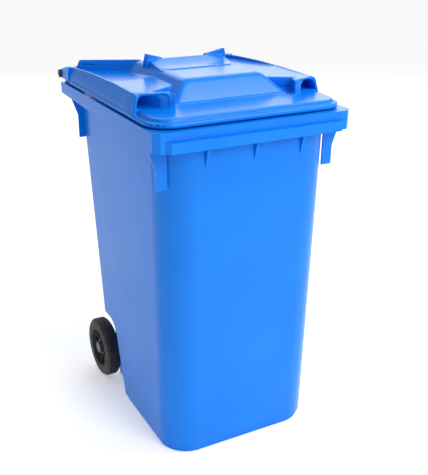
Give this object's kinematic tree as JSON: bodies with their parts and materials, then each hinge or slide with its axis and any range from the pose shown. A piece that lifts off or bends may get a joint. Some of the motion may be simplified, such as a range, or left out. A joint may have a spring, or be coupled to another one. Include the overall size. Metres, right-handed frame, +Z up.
{
  "type": "wheelie bin",
  "caption": "Two-wheeled waste bin with a tapered tub, a domed lid hinged on rear pins, rear grip bar, steel axle and rubber-tyred wheels with snap latches.",
  "frame": {"origin": "middle of the bin's box on the floor: half way across, half way front to back, at floor height", "axes": "+Z up, the front of the bin faces -Y, the lid hinge and the axle lie along X"},
  "size_m": [0.58, 0.74, 1.104],
  "materials": {
    "bin_plastic": "satin moulded polyethylene",
    "lid_plastic": "satin moulded polyethylene",
    "axle_steel": "bright zinc plate",
    "black_plastic": "fine texture",
    "tyre_rubber": "moulded rubber, fine tread",
    "wheel_plastic": "satin",
    "cap_plastic": "satin",
    "latch_plastic": "satin",
    "spring_steel": "bright"
  },
  "bodies": {
    "bin": {"bin_body": "bin_plastic", "bin_rim": "bin_plastic", "axle": "axle_steel", "axle_spacer_left": "black_plastic", "axle_spacer_right": "black_plastic", "hinge_pin_left": "black_plastic", "hinge_pin_right": "black_plastic"},
    "lid": {"lid": "lid_plastic"},
    "wheel_left": {"tyre_left": "tyre_rubber", "wheel_core_left": "wheel_plastic", "hub_cap_left": "cap_plastic", "latch_spring_left": "spring_steel"},
    "latch_left": {"wheel_latch_left": "latch_plastic"},
    "wheel_right": {"tyre_right": "tyre_rubber", "wheel_core_right": "wheel_plastic", "hub_cap_right": "cap_plastic", "latch_spring_right": "spring_steel"},
    "latch_right": {"wheel_latch_right": "latch_plastic"}
  },
  "joints": [
    {"name": "lid_hinge", "type": "hinge", "parent": "bin", "child": "lid", "pos_m": [0, 0.358, 1.012], "axis": [-1, 0, 0], "range_deg": [0, 256]},
    {"name": "wheel_left_spin", "type": "hinge", "parent": "bin", "child": "wheel_left", "pos_m": [0, 0.21792, 0.1], "axis": [1, 0, 0], "continuous": true},
    {"name": "latch_left_slide", "type": "slide", "parent": "wheel_left", "child": "latch_left", "axis": [0, 0, 1], "range_m": [0, 0.0023], "stiffness_N_per_m": 600, "springref_m": -0.003, "deforming": ["latch_spring_left"]},
    {"name": "wheel_right_spin", "type": "hinge", "parent": "bin", "child": "wheel_right", "pos_m": [0, 0.21792, 0.1], "axis": [1, 0, 0], "continuous": true},
    {"name": "latch_right_slide", "type": "slide", "parent": "wheel_right", "child": "latch_right", "axis": [0, 0, 1], "range_m": [0, 0.0023], "stiffness_N_per_m": 600, "springref_m": -0.003, "deforming": ["latch_spring_right"]}
  ]
}
